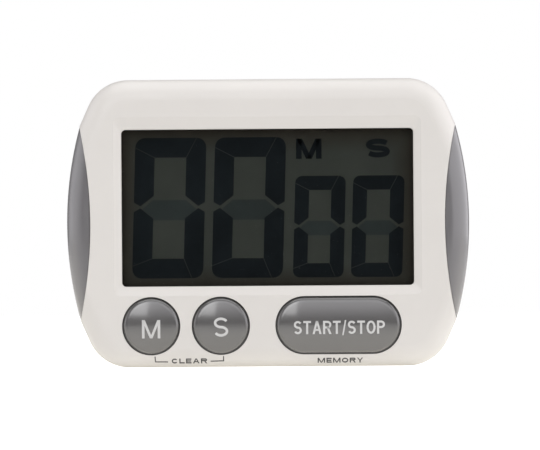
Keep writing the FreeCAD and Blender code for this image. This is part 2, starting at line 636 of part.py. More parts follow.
def sound_slots():
    """Row of slots through the back wall in front of the buzzer, the end ones shorter."""
    slots = []
    for k in range(SOUND_SLOTS):
        step = k - (SOUND_SLOTS - 1) / 2
        half = SOUND_SLOT_HALF_LENGTH - 0.7 * abs(step)
        z = BUZZER_Z + SOUND_SLOT_PITCH * step
        z_range = (z - SOUND_SLOT_HEIGHT / 2, z + SOUND_SLOT_HEIGHT / 2)
        slots.append(box((BUZZER_X - half, BUZZER_X + half), (BACK_WALL_Y - 0.5, FAR), z_range))
    return slots


def case_screws():
    screws = []
    for x, z in CASE_SCREWS:
        head_y = (CASE_HEAD_SEAT_Y, CASE_HEAD_SEAT_Y + CASE_HEAD_HEIGHT)
        screws.append(screw(x, z, head_y, CASE_HEAD_RADIUS, CASE_SCREW_RADIUS, CASE_SCREW_LENGTH))
    return Part.makeCompound(screws)


def screw(x, z, head_y, head_radius, radius, length):
    """Pan-head screw with its head at the back."""
    seat = head_y[0]
    return joined(rod(x, z, head_radius, head_y), [rod(x, z, radius, (seat - length, seat))])


def grip(side):
    """Crescent grip: a rounded section turned along the outer edge, cut to the scallop, with its rail."""
    outer = GRIP_RADIUS
    front = FRONT_Y + GRIP_INSET
    back = BACK_Y - GRIP_INSET
    side_front = front + GRIP_FRONT_ROUND
    side_back = back - GRIP_BACK_ROUND
    bend = math.sqrt(0.5)
    inner = outer - GRIP_WIDTH
    deep = inner - 3.0

    def at(radius, y):
        return V(GRIP_CENTRE_X + radius, y, MID_Z)

    section = path_wire(at(deep, front), [
        (at(inner, front),),
        (at(inner + GRIP_WIDTH * bend, side_front - GRIP_FRONT_ROUND * bend), at(outer, side_front)),
        (at(outer, side_back),),
        (at(inner + GRIP_WIDTH * bend, side_back + GRIP_BACK_ROUND * bend), at(inner, back)),
        (at(deep, back),),
        (at(deep, front),),
    ])
    sweep = 40.0
    face = Part.Face(section)
    face.rotate(V(GRIP_CENTRE_X, 0, MID_Z), V(0, 1, 0), -sweep / 2)
    turned = face.revolve(V(GRIP_CENTRE_X, 0, MID_Z), V(0, 1, 0), sweep)
    crescent = turned.common(scallop(1, -GRIP_GAP))
    solid = joined(crescent, [rail(1, 0)])
    if side < 0:
        solid = solid.mirror(V(0, 0, 0), V(1, 0, 0))
    return solid


# ---------------------------------------------------------------- display
def display_lens():
    return box((-LENS_HALF_WIDTH, LENS_HALF_WIDTH), (LENS_Y, GASKET_Y), (LENS_BOTTOM, LENS_TOP))


def lens_gasket():
    return ring_plate(LENS_HALF_WIDTH, (LENS_BOTTOM, LENS_TOP), (GASKET_Y, POLARISER_Y), GASKET_WIDTH)


def lcd_front_polariser():
    half = GLASS_HALF_WIDTH - POLARISER_INSET
    return box((-half, half), (POLARISER_Y, FRONT_GLASS_Y), (LENS_BOTTOM, GLASS_TOP - POLARISER_INSET))


def lcd_front_glass():
    half = GLASS_HALF_WIDTH
    return box((-half, half), (FRONT_GLASS_Y, REAR_GLASS_Y), (GLASS_BOTTOM, GLASS_TOP))


def lcd_rear_glass():
    half = GLASS_HALF_WIDTH
    return box((-half, half), (REAR_GLASS_Y, REFLECTOR_Y), (REAR_GLASS_BOTTOM, GLASS_TOP))


def lcd_reflector():
    half = GLASS_HALF_WIDTH - POLARISER_INSET
    z = (REAR_GLASS_BOTTOM + POLARISER_INSET, GLASS_TOP - POLARISER_INSET)
    return box((-half, half), (REFLECTOR_Y, FRAME_Y), z)


def zebra_span(clearance):
    """Height range of the contact strip on the front glass's ledge."""
    middle = (GLASS_BOTTOM + REAR_GLASS_BOTTOM) / 2
    half = ZEBRA_THICKNESS / 2 + clearance
    return (middle - half, middle + half)


def zebra_strip():
    return box((-ZEBRA_HALF_LENGTH, ZEBRA_HALF_LENGTH), (REAR_GLASS_Y, BOARD_Y), zebra_span(0))


def lcd_frame():
    """Tray behind the glass with a rim round it, ears for two screws and openings to save plastic."""
    half = FRAME_HALF_WIDTH
    plate = box((-half, half), (FRAME_Y, FRAME_UPPER_BACK_Y), (FRAME_BOTTOM, FRAME_TOP))
    low = box((-half, half), (FRAME_Y, BOARD_Y), (FRAME_BOTTOM, BOARD_TOP))
    rim_y = (FRONT_GLASS_Y + 0.1, FRAME_Y)
    rim = ring_plate(half, (FRAME_BOTTOM, FRAME_TOP), rim_y, FRAME_RIM)
    parts = [low, rim]
    for x, z in BOARD_SCREWS:
        arm_x = sorted((math.copysign(half - FRAME_RIM, x), math.copysign(BOSS_X + BOSS_RADIUS, x)))
        parts.append(box(arm_x, (FRAME_Y, BOARD_Y), (z - BOSS_RADIUS, z + BOSS_RADIUS)))
    frame = joined(plate, parts)
    openings = []
    low_z = (REAR_GLASS_BOTTOM + FRAME_BAR, BOARD_TOP - FRAME_BAR)
    high_z = (BOARD_TOP + FRAME_BAR, GLASS_TOP - FRAME_BAR)
    for z in (low_z, high_z):
        for side in (-1, 1):
            x = sorted((side * FRAME_BAR / 2, side * (half - FRAME_BAR - FRAME_RIM)))
            openings.append(box(x, (-FAR, FAR), z))
    slot_half = ZEBRA_HALF_LENGTH + FRAME_CLEARANCE
    openings.append(box((-slot_half, slot_half), (-FAR, FAR), zebra_span(FRAME_CLEARANCE)))
    hole = SMALL_SCREW_RADIUS + HOLE_CLEARANCE
    openings += [rod(x, z, hole, (-FAR, FAR)) for x, z in BOARD_SCREWS]
    return frame.cut(openings)


def board_screws():
    """Screws through the board, the outer two also through the frame's ears."""
    head_y = (BOARD_BACK_Y, BOARD_BACK_Y + SMALL_HEAD_HEIGHT)
    places = BOARD_SCREWS + [(CENTRE_SCREW_X, BUTTON_Z)]
    sizes = (SMALL_HEAD_RADIUS, SMALL_SCREW_RADIUS, SMALL_SCREW_LENGTH)
    return Part.makeCompound([screw(x, z, head_y, *sizes) for x, z in places])


# ---------------------------------------------------------------- circuit board
def circuit_board():
    y = (BOARD_Y, BOARD_BACK_Y)
    wide = box((-BOARD_HALF_WIDTH, BOARD_HALF_WIDTH), y, (BOARD_NOTCH_TOP, BOARD_TOP))
    narrow = box((-BOARD_NOTCH_HALF_WIDTH, BOARD_NOTCH_HALF_WIDTH), y, (BOARD_BOTTOM, BOARD_NOTCH_TOP))
    board = joined(wide, [narrow])
    hole = SMALL_SCREW_RADIUS + HOLE_CLEARANCE
    places = BOARD_SCREWS + [(CENTRE_SCREW_X, BUTTON_Z)]
    return board.cut([rod(x, z, hole, y) for x, z in places])


def controller_blob():
    """Round drop of black resin over the bare chip."""
    ball = (BLOB_RADIUS ** 2 + BLOB_HEIGHT ** 2) / (2 * BLOB_HEIGHT)
    middle = V(BLOB_X, BOARD_BACK_Y - ball + BLOB_HEIGHT, BLOB_Z)
    return Part.makeSphere(ball, middle).common(box((-FAR, FAR), (BOARD_BACK_Y, FAR), (-FAR, FAR)))


def crystal():
    """Watch crystal in its can, lying on the board with its two leads bent down to it."""
    foot = V(CRYSTAL_X, BOARD_BACK_Y + CRYSTAL_RADIUS, CRYSTAL_Z)
    can = Part.makeCylinder(CRYSTAL_RADIUS, CRYSTAL_LENGTH, foot, V(1, 0, 0))
    start = CRYSTAL_X + CRYSTAL_LENGTH
    end = start + LEAD_REACH
    low = BOARD_BACK_Y + LEAD_HEIGHT
    leads = []
    for side in (-1, 1):
        middle = CRYSTAL_Z + side * LEAD_OFFSET
        z = (middle - LEAD_THICKNESS / 2, middle + LEAD_THICKNESS / 2)
        leads.append(box((start, end), (low, low + LEAD_THICKNESS), z))
        leads.append(box((end - LEAD_THICKNESS, end), (BOARD_BACK_Y, BOARD_BACK_Y + LEAD_FOOT), z))
    return joined(can, leads)


def small_components():
    """Chip resistors and capacitors soldered to the back of the board."""
    y = (BOARD_BACK_Y, BOARD_BACK_Y + CHIP_HEIGHT)
    chips = [box((x, x + CHIP_LENGTH), y, (z, z + CHIP_WIDTH)) for x, z in CHIP_PLACES]
    return Part.makeCompound(chips)


# ---------------------------------------------------------------- buttons
def revolve_section(points_wire, x, angle_start, angle):
    """Turn a half section about the Y axis through a button's centre."""
    face = Part.Face(points_wire)
    face.rotate(V(x, 0, BUTTON_Z), V(0, 1, 0), angle_start)
    return face.revolve(V(x, 0, BUTTON_Z), V(0, 1, 0), angle)


def cap_section(x):
    """Half section of a button cap from its middle outwards, towards +X."""
    flange = CAP_RADIUS + CAP_FLANGE_OUT
    inside = CAP_RADIUS - CAP_THICKNESS
    flange_back = FLANGE_Y + CAP_FLANGE_THICKNESS
    ceiling = CAP_TOP_Y + CAP_THICKNESS + 0.2

    def at(radius, y):
        return V(x + radius, y, BUTTON_Z)

    dome_edge = at(CAP_DOME_RADIUS, CAP_TOP_Y + CAP_DOME_DROP)
    dome = Part.Arc(at(0, CAP_TOP_Y), at(CAP_DOME_RADIUS / 2, CAP_TOP_Y + CAP_DOME_DROP / 4), dome_edge)
    edge = Part.BSplineCurve()
    slope = V(CAP_DOME_RADIUS, 2 * CAP_DOME_DROP, 0)
    edge.interpolate([dome_edge, at(CAP_RADIUS, CAP_TOP_Y + CAP_EDGE_DROP)],
                     InitialTangent=slope, FinalTangent=V(0, slope.Length, 0))
    side = [at(CAP_RADIUS, CAP_TOP_Y + CAP_EDGE_DROP), at(CAP_RADIUS, FLANGE_Y), at(flange, FLANGE_Y),
            at(flange, flange_back), at(inside, flange_back), at(inside, ceiling), at(0, ceiling),
            at(0, CAP_TOP_Y)]
    return Part.Wire([dome.toShape(), edge.toShape()] + Part.makePolygon(side).Edges)


def plunger(x):
    return rod(x, BUTTON_Z, PLUNGER_RADIUS, (CAP_TOP_Y + CAP_THICKNESS, DOME_TOP_Y - PLUNGER_GAP))


def round_button(x):
    return joined(revolve_section(cap_section(x), x, 0, 360), [plunger(x)])


def long_button(x):
    """Two half-round ends with the same section run straight between them."""
    right = x + START_HALF_STRAIGHT
    left = x - START_HALF_STRAIGHT
    right_end = revolve_section(cap_section(right), right, -90, 180)
    left_end = revolve_section(cap_section(left), left, 90, 180)
    middle = []
    for turn in (-90, 90):
        face = Part.Face(cap_section(left))
        face.rotate(V(left, 0, BUTTON_Z), V(0, 1, 0), turn)
        middle.append(face.extrude(V(2 * START_HALF_STRAIGHT, 0, 0)))
    return joined(right_end, [left_end] + middle + [plunger(x)])


def keypad_mat():
    """Silicone sheet on the board with a springy hollow dome under each plunger."""
    y = (BOARD_Y - MAT_THICKNESS, BOARD_Y)
    left = max(MINUTES_X - MAT_MARGIN, -BOARD_NOTCH_HALF_WIDTH)
    right = min(START_X + START_HALF_STRAIGHT + MAT_MARGIN, BOARD_NOTCH_HALF_WIDTH)
    sheet = box((left, right), y, (MAT_BOTTOM, MAT_TOP))
    height = DOME_HEIGHT - MAT_THICKNESS
    tops = [V(x, DOME_TOP_Y, BUTTON_Z) for x in DOMES]
    outside = [Part.makeCone(DOME_TOP_RADIUS, DOME_BASE_RADIUS, height, place, V(0, 1, 0)) for place in tops]
    top = PILL_BACK_Y - PILL_THICKNESS
    inside = [rod(x, BUTTON_Z, DOME_INSIDE_RADIUS, (top, BOARD_Y)) for x in DOMES]
    hole = rod(CENTRE_SCREW_X, BUTTON_Z, CENTRE_BOSS_RADIUS + 0.3, y)
    return joined(sheet, outside).cut(inside + [hole])


def pill(x):
    """Conductive pill under a dome, which closes the contact on the board."""
    return rod(x, BUTTON_Z, PILL_RADIUS, (PILL_BACK_Y - PILL_THICKNESS, PILL_BACK_Y))


# ---------------------------------------------------------------- battery and door
def battery_cell():
    end = TRAY_HALF_LENGTH - CONTACT_THICKNESS
    length = CELL_LENGTH - CELL_NUB_LENGTH
    can = Part.makeCylinder(CELL_RADIUS, length, V(end - CELL_LENGTH, CELL_Y, CELL_Z), V(1, 0, 0))
    nub_foot = V(end - CELL_NUB_LENGTH, CELL_Y, CELL_Z)
    nub = Part.makeCylinder(CELL_NUB_RADIUS, CELL_NUB_LENGTH, nub_foot, V(1, 0, 0))
    return joined(can, [nub])


def contact_plate(x):
    """Flat contact whose tail runs down to the board and is soldered to its back."""
    thick = (x, x + CONTACT_THICKNESS)
    half = CONTACT_SIZE / 2
    plate = box(thick, (CELL_Y - half, CELL_Y + half), (CELL_Z - half, CELL_Z + half))
    tail = box(thick, tail_span(0), (BOARD_TOP - TAIL_OVERLAP, CELL_Z - TAIL_TOP_DROP))
    foot_z = BOARD_TOP - TAIL_OVERLAP
    foot = box(thick, (BOARD_BACK_Y, tail_span(0)[1]), (foot_z, foot_z + TAIL_WIDTH))
    return joined(plate, [tail, foot])


def battery_plate():
    return contact_plate(TRAY_HALF_LENGTH - CONTACT_THICKNESS)


def battery_spring():
    """Contact with a sprung leaf bowed towards the cell."""
    root = -TRAY_HALF_LENGTH
    width = CONTACT_SIZE / 2
    reach = root + SPRING_DEPTH
    end_x = root + CONTACT_THICKNESS / 2
    outer = LEAF_HALF_HEIGHT
    inner = LEAF_HALF_HEIGHT - CONTACT_THICKNESS
    start = V(end_x, 0, CELL_Z + outer)
    bow = path_wire(start, [
        (V(reach, 0, CELL_Z), V(end_x, 0, CELL_Z - outer)),
        (V(end_x, 0, CELL_Z - inner),),
        (V(reach - CONTACT_THICKNESS, 0, CELL_Z), V(end_x, 0, CELL_Z + inner)),
        (start,),
    ])
    leaf = Part.Face(bow).extrude(V(0, width, 0))
    leaf.translate(V(0, CELL_Y - width / 2, 0))
    return joined(contact_plate(root), [leaf])


def tongue_starts():
    """Heights of the lower ends of the door's tongues."""
    return [DOOR_BOTTOM + start for start in TONGUE_STARTS]


def battery_door():
    """Door over the cell that wraps over the top edge and slides upwards in two grooves."""
    door = back_edge_band(0, DOOR_THICKNESS, DOOR_BOTTOM, DOOR_FRONT_Y, DOOR_HALF_WIDTH)
    inner_y = BACK_Y - DOOR_THICKNESS
    tongue_y = (DOOR_GAP_Y - TONGUE_CLEARANCE - TONGUE_THICKNESS, DOOR_GAP_Y - TONGUE_CLEARANCE)
    parts = []
    for side in (-1, 1):
        stem_x = sorted((side * (DOOR_HALF_WIDTH - TONGUE_OUT), side * DOOR_HALF_WIDTH))
        tongue_x = sorted((side * (DOOR_HALF_WIDTH - TONGUE_OUT), side * (DOOR_HALF_WIDTH + TONGUE_OUT)))
        for start in tongue_starts():
            z = (start, start + TONGUE_LENGTH)
            parts.append(box(stem_x, (tongue_y[0], inner_y + BITE), z))
            parts.append(box(tongue_x, tongue_y, z))
    door = joined(door, parts)
    grooves = []
    for k in range(THUMB_GROOVES):
        z = HEIGHT - BACK_EDGE_RADIUS - THUMB_GROOVE_DROP - 2 * k * THUMB_GROOVE_WIDTH
        grooves.append(box((-THUMB_GROOVE_HALF_LENGTH, THUMB_GROOVE_HALF_LENGTH),
                           (BACK_Y - THUMB_GROOVE_DEPTH, FAR), (z - THUMB_GROOVE_WIDTH, z)))
    return door.cut(grooves)


# ---------------------------------------------------------------- stand, magnets, buzzer
def stand_pins(clearance):
    """Pivot pins of the stand, or with a clearance the holes for them."""
    start = STAND_HALF_WIDTH - STAND_PIN_ROOT
    length = STAND_PIN_ROOT + STAND_PIN_LENGTH + 3 * clearance
    pins = []
    for side in (-1, 1):
        foot = V(side * start, STAND_PIVOT_Y, STAND_PIVOT_Z)
        pins.append(Part.makeCylinder(STAND_PIN_RADIUS + clearance, length, foot, V(side, 0, 0)))
    return Part.makeCompound(pins)


def stand():
    """Flap that folds into the back and stops when its upper corner meets the recess."""
    inner = BACK_Y - STAND_THICKNESS
    depth = STAND_PIVOT_Y - RECESS_Y - STAND_STOP_GAP
    at_rest = math.acos(depth / STAND_STOP_REACH) + STAND_ANGLE
    top = STAND_PIVOT_Z + STAND_STOP_REACH * math.sin(at_rest)
    stop_y = STAND_PIVOT_Y - STAND_STOP_REACH * math.cos(at_rest)
    k = STAND_ROUND_OFF * (1 - math.sqrt(0.5))
    slant = STAND_BARREL_RADIUS * math.sqrt(0.5)
    meet = math.sqrt(STAND_BARREL_RADIUS ** 2 - (STAND_PIVOT_Y - inner) ** 2)
    section = path_wire(V(0, BACK_Y, STAND_FREE_Z), [
        (V(0, BACK_Y, top - STAND_ROUND_OFF),),
        (V(0, BACK_Y - k, top - k), V(0, BACK_Y - STAND_ROUND_OFF, top)),
        (V(0, stop_y, top),),
        (V(0, STAND_PIVOT_Y - STAND_BARREL_RADIUS, STAND_PIVOT_Z),),
        (V(0, STAND_PIVOT_Y - slant, STAND_PIVOT_Z - slant), V(0, inner, STAND_PIVOT_Z - meet)),
        (V(0, inner, STAND_FREE_Z),),
        (V(0, BACK_Y, STAND_FREE_Z),),
    ])
    flap = Part.Face(section).extrude(V(2 * STAND_HALF_WIDTH, 0, 0))
    flap.translate(V(-STAND_HALF_WIDTH, 0, 0))
    rib_x = STAND_HALF_WIDTH * STAND_RIB_PLACE
    ribs = []
    for x in (-rib_x, rib_x):
        rib_z = (STAND_FREE_Z + STAND_RIB_MARGIN, STAND_PIVOT_Z - STAND_RIB_MARGIN)
        rib_y = (RECESS_Y + STAND_RIB_GAP, inner + BITE)
        ribs.append(box((x - RIB_THICKNESS / 2, x + RIB_THICKNESS / 2), rib_y, rib_z))
    flap = joined(flap, ribs + stand_pins(0).Solids)
    return flap.cut(rod(0, STAND_FREE_Z - NOTCH_DROP, NOTCH_RADIUS, (-FAR, FAR)))


def magnets():
    y = (BACK_Y - MAGNET_THICKNESS, BACK_Y)
    return Part.makeCompound([rod(side * MAGNET_X, MAGNET_Z, MAGNET_RADIUS, y) for side in (-1, 1)])


def buzzer_disc():
    return rod(BUZZER_X, BUZZER_Z, BUZZER_RADIUS, (BUZZER_Y, BUZZER_Y + BUZZER_THICKNESS))


def buzzer_ceramic():
    return rod(BUZZER_X, BUZZER_Z, CERAMIC_RADIUS, (BUZZER_Y - CERAMIC_THICKNESS, BUZZER_Y))


def buzzer_contacts():
    """Sprung strips from the board that press on the brass disc and on its ceramic."""
    strips = []
    thick = BUZZER_CONTACT_THICKNESS
    foot_y = BOARD_BACK_Y
    bend_z, foot_z = (BUZZER_Z + z for z in BUZZER_CONTACT_FOOT)
    toe_z, heel_z = (BUZZER_Z + z for z in BUZZER_CONTACT_TOE)
    for dx, face in zip(BUZZER_CONTACT_PLACES, (BUZZER_Y, BUZZER_Y - CERAMIC_THICKNESS)):
        points = [V(0, foot_y, foot_z), V(0, foot_y, bend_z),
                  V(0, face - thick, heel_z), V(0, face - thick, toe_z),
                  V(0, face, toe_z), V(0, face, heel_z + thick),
                  V(0, foot_y + thick, bend_z + thick), V(0, foot_y + thick, foot_z)]
        strip = Part.Face(Part.makePolygon(points + points[:1])).extrude(V(BUZZER_CONTACT_WIDTH, 0, 0))
        strip.translate(V(BUZZER_X + dx - BUZZER_CONTACT_WIDTH / 2, 0, 0))
        strips.append(strip)
    return Part.makeCompound(strips)


# ---------------------------------------------------------------- the whole timer
PARTS = {
    "front_shell": front_shell(),
    "rear_shell": rear_shell(),
    "left_grip": grip(-1),
    "right_grip": grip(1),
    "display_lens": display_lens(),
    "lens_gasket": lens_gasket(),
    "lcd_front_polariser": lcd_front_polariser(),
    "lcd_front_glass": lcd_front_glass(),
    "lcd_rear_glass": lcd_rear_glass(),
    "lcd_reflector": lcd_reflector(),
    "lcd_frame": lcd_frame(),
    "zebra_strip": zebra_strip(),
    "circuit_board": circuit_board(),
    "board_screws": board_screws(),
    "controller_blob": controller_blob(),
    "crystal": crystal(),
    "small_components": small_components(),
    "keypad_mat": keypad_mat(),
    "minutes_button": round_button(MINUTES_X),
    "seconds_button": round_button(SECONDS_X),
    "start_stop_button": long_button(START_X),
    "minutes_pill": pill(MINUTES_X),
    "seconds_pill": pill(SECONDS_X),
    "start_stop_pill": pill(START_X),
    "case_screws": case_screws(),
    "stand": stand(),
    "magnets": magnets(),
    "battery_cell": battery_cell(),
    "battery_spring": battery_spring(),
    "battery_plate": battery_plate(),
    "battery_door": battery_door(),
    "buzzer_disc": buzzer_disc(),
    "buzzer_ceramic": buzzer_ceramic(),
    "buzzer_contacts": buzzer_contacts(),
}

os.makedirs("parts", exist_ok=True)
for name, shape in PARTS.items():
    shape.exportStep(os.path.join("parts", name + ".step"))
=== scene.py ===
import json
import math

import bmesh
import bpy
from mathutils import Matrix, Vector
from mathutils.bvhtree import BVHTree


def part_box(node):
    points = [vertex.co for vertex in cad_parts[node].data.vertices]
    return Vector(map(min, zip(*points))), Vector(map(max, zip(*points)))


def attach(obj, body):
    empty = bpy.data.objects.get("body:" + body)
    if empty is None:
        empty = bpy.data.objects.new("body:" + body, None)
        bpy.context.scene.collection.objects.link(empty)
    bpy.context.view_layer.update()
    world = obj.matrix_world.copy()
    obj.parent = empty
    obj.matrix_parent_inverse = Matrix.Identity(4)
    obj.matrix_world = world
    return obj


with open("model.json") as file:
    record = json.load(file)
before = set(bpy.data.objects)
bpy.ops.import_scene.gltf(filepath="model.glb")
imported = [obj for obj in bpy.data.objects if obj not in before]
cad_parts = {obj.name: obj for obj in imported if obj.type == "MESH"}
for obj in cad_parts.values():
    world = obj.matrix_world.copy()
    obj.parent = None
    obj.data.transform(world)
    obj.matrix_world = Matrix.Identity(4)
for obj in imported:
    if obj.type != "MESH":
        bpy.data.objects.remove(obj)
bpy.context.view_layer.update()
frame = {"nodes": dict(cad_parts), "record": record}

nodes = frame["nodes"]
MM = 0.001
GAP_SHADE_FADE_MM = 0.15            # how far the painted gap shade fades in on each side of its depth
PRINT_LIFT_MM = 0.02            # printed letters and lines above their surface


# ---------------------------------------------------------------- material helpers
def new_material(name):
    material = bpy.data.materials.new(name)
    material.use_nodes = True
    tree = material.node_tree
    tree.nodes.clear()
    output = tree.nodes.new("ShaderNodeOutputMaterial")
    shader = tree.nodes.new("ShaderNodeBsdfPrincipled")
    tree.links.new(shader.outputs[0], output.inputs["Surface"])
    return material, tree, shader


def object_place(tree):
    return tree.nodes.new("ShaderNodeTexCoord").outputs["Object"]


def noise(tree, place, size_mm, detail=2.0, roughness=0.5):
    """Noise whose patches are about size_mm across."""
    node = tree.nodes.new("ShaderNodeTexNoise")
    node.inputs["Scale"].default_value = 1000.0 / size_mm
    node.inputs["Detail"].default_value = detail
    node.inputs["Roughness"].default_value = roughness
    tree.links.new(place, node.inputs["Vector"])
    return node.outputs["Fac"]


def spread(tree, value, low, high, start=0.3, end=0.7):
    """Map a value from start..end to low..high."""
    node = tree.nodes.new("ShaderNodeMapRange")
    node.inputs["From Min"].default_value = start
    node.inputs["From Max"].default_value = end
    node.inputs["To Min"].default_value = low
    node.inputs["To Max"].default_value = high
    tree.links.new(value, node.inputs["Value"])
    return node.outputs["Result"]


def fill(tree, socket, value):
    """Link a socket to another, or set it to a number or a colour."""
    if isinstance(value, bpy.types.NodeSocket):
        tree.links.new(value, socket)
    elif isinstance(value, tuple):
        socket.default_value = (*value, 1.0)
    else:
        socket.default_value = value


def blend_colours(tree, factor, first, second):
    node = tree.nodes.new("ShaderNodeMix")
    node.data_type = "RGBA"
    for name, value in (("Factor", factor), ("A", first), ("B", second)):
        fill(tree, node.inputs[name], value)
    return node.outputs["Result"]


def maths(tree, operation, *values):
    """What a Math node makes of sockets and numbers."""
    node = tree.nodes.new("ShaderNodeMath")
    node.operation = operation
    for socket, value in zip(node.inputs, values):
        fill(tree, socket, value)
    return node.outputs[0]


def axes(tree, vector):
    """The x, y and z of a vector."""
    node = tree.nodes.new("ShaderNodeSeparateXYZ")
    tree.links.new(vector, node.inputs[0])
    return node.outputs[0], node.outputs[1], node.outputs[2]


def shade(colour, factor):
    return tuple(c * factor for c in colour)


def moulded(name, colour, roughness, grain_mm=0.25, grain_depth_mm=0.004, variation=0.03, metallic=0.0,
            coat=0.0, coat_roughness=0.1, coat_ior=1.5, rough_spread=0.05, specular=0.5, gap_shade=None):
    """Plastic, rubber or metal with fine grain, cloudy colour and uneven gloss.

    The last argument, a depth in mm and a colour, paints that colour from that depth back: painted shade for
    the dark gap round the piece.
    """
    material, tree, shader = new_material(name)
    place = object_place(tree)
    cloud = noise(tree, place, 14.0, 3.0)
    speck = noise(tree, place, 1.6, 2.0)
    mixed = blend_colours(tree, spread(tree, cloud, 0.0, 1.0), shade(colour, 1.0 - variation),
                          shade(colour, 1.0 + variation))
    specked = blend_colours(tree, spread(tree, speck, 0.0, 0.25, 0.55, 0.8), mixed,
                            shade(colour, 1.0 - 2.5 * variation))
    # Near-black from a given depth back: painted shade in the gap round the piece.
    if gap_shade:
        edge_y, gap_shade_colour = gap_shade
        depth = axes(tree, place)[1]
        gap_shade_share = spread(tree, depth, 0.0, 1.0, (edge_y - GAP_SHADE_FADE_MM) * MM, (edge_y + GAP_SHADE_FADE_MM) * MM)
        specked = blend_colours(tree, gap_shade_share, specked, gap_shade_colour)
    tree.links.new(specked, shader.inputs["Base Color"])
    smudge = noise(tree, place, 6.0, 3.0)
    tree.links.new(spread(tree, smudge, roughness - rough_spread, roughness + rough_spread),
                   shader.inputs["Roughness"])
    grain = noise(tree, place, grain_mm, 1.0)
    bump = tree.nodes.new("ShaderNodeBump")
    bump.inputs["Strength"].default_value = 1.0
    bump.inputs["Distance"].default_value = grain_depth_mm * MM
    tree.links.new(grain, bump.inputs["Height"])
    tree.links.new(bump.outputs["Normal"], shader.inputs["Normal"])
    shader.inputs["Metallic"].default_value = metallic
    shader.inputs["Specular IOR Level"].default_value = specular
    shader.inputs["Coat Weight"].default_value = coat
    shader.inputs["Coat Roughness"].default_value = coat_roughness
    shader.inputs["Coat IOR"].default_value = coat_ior
    return material


def pane(name, tint, roughness):
    """Clear sheet that mirrors a little at its surface and lets light through."""
    material, tree, shader = new_material(name)
    place = object_place(tree)
    tree.nodes.remove(shader)
    output = tree.nodes["Material Output"]
    clear = tree.nodes.new("ShaderNodeBsdfTransparent")
    haze = noise(tree, place, 9.0, 3.0)
    cloudy = blend_colours(tree, spread(tree, haze, 0.0, 1.0), tint, shade(tint, 0.97))
    tree.links.new(cloudy, clear.inputs["Color"])
    gloss = tree.nodes.new("ShaderNodeBsdfGlossy")
    gloss.inputs["Color"].default_value = (1.0, 1.0, 1.0, 1.0)
    smear = noise(tree, place, 4.0, 3.0)
    tree.links.new(spread(tree, smear, roughness, roughness * 2.5), gloss.inputs["Roughness"])
    fresnel = tree.nodes.new("ShaderNodeFresnel")
    fresnel.inputs["IOR"].default_value = 1.49
    back = tree.nodes.new("ShaderNodeNewGeometry").outputs["Backfacing"]
    share = maths(tree, "MULTIPLY", fresnel.outputs[0], maths(tree, "SUBTRACT", 1.0, back))
    mix = tree.nodes.new("ShaderNodeMixShader")
    tree.links.new(share, mix.inputs[0])
    tree.links.new(clear.outputs[0], mix.inputs[1])
    tree.links.new(gloss.outputs[0], mix.inputs[2])
    tree.links.new(mix.outputs[0], output.inputs["Surface"])
    return material


# ---------------------------------------------------------------- materials
shell = moulded("shell_white", (0.7, 0.678, 0.642), 0.36, 0.35, 0.003, 0.012)
grip = moulded("grip_grey", (0.145, 0.141, 0.146), 0.34, 0.22, 0.004, 0.03, coat=1.0,
               coat_roughness=0.12)
# The near-black colour from -9.72 mm back is painted shade: it darkens the gap round each cap.
button = moulded("button_grey", (0.092, 0.09, 0.089), 0.24, 0.12, 0.0015, 0.015, coat=1.0,
                 coat_roughness=0.13, coat_ior=1.75, rough_spread=0.02,
                 gap_shade=(-9.72, (0.004, 0.004, 0.0045)))
lens = pane("lens_clear", (0.93, 0.94, 0.93), 0.02)
glass = pane("lcd_glass_clear", (0.9, 0.93, 0.92), 0.01)
foam = moulded("foam_black", (0.02, 0.02, 0.02), 0.85, 0.2, 0.03, 0.15)
film = moulded("reflector_silver", (0.45, 0.45, 0.42), 0.45, 0.08, 0.002, 0.04)
natural = moulded("frame_natural", (0.6, 0.6, 0.56), 0.5, 0.3, 0.006, 0.04)
zinc = moulded("screw_zinc", (0.55, 0.56, 0.58), 0.32, 0.3, 0.006, 0.1, metallic=1.0)
nickel = moulded("nickel_plate", (0.62, 0.6, 0.56), 0.22, 0.4, 0.003, 0.08, metallic=1.0)
magnet = moulded("magnet_nickel", (0.36, 0.35, 0.34), 0.34, 0.4, 0.004, 0.08, metallic=1.0)
zebra = moulded("zebra_pink", (0.55, 0.18, 0.24), 0.6, 0.2, 0.006, 0.08)
epoxy = moulded("epoxy_black", (0.01, 0.01, 0.012), 0.2, 1.5, 0.02, 0.1, coat=0.5)
chip = moulded("chip_tan", (0.36, 0.26, 0.15), 0.4, 0.2, 0.004, 0.12)
silicone = moulded("silicone_white", (0.62, 0.62, 0.58), 0.55, 0.3, 0.004, 0.04)
carbon = moulded("carbon_black", (0.015, 0.015, 0.015), 0.7, 0.1, 0.006, 0.2)
brass = moulded("brass_rolled", (0.55, 0.38, 0.12), 0.3, 0.5, 0.004, 0.12, metallic=1.0)
silvered = moulded("ceramic_silvered", (0.6, 0.58, 0.54), 0.4, 0.15, 0.004, 0.08)
print_light = moulded("print_light_grey", (0.58, 0.58, 0.57), 0.5, 0.15, 0.002, 0.03)
print_dark = moulded("print_dark_grey", (0.04, 0.04, 0.042), 0.5, 0.15, 0.002, 0.05)
# Near-black for the screw recesses: painted shade.
socket = moulded("screw_recess_painted_shade", (0.05, 0.05, 0.055), 0.5, 0.2, 0.004, 0.2, metallic=0.6)


BEZEL_SHADE_INNER_MM = 6.5           # painted shade of the bezel on the film starts this far from its edge
BEZEL_SHADE_OUTER_MM = 1.2           # and is full here


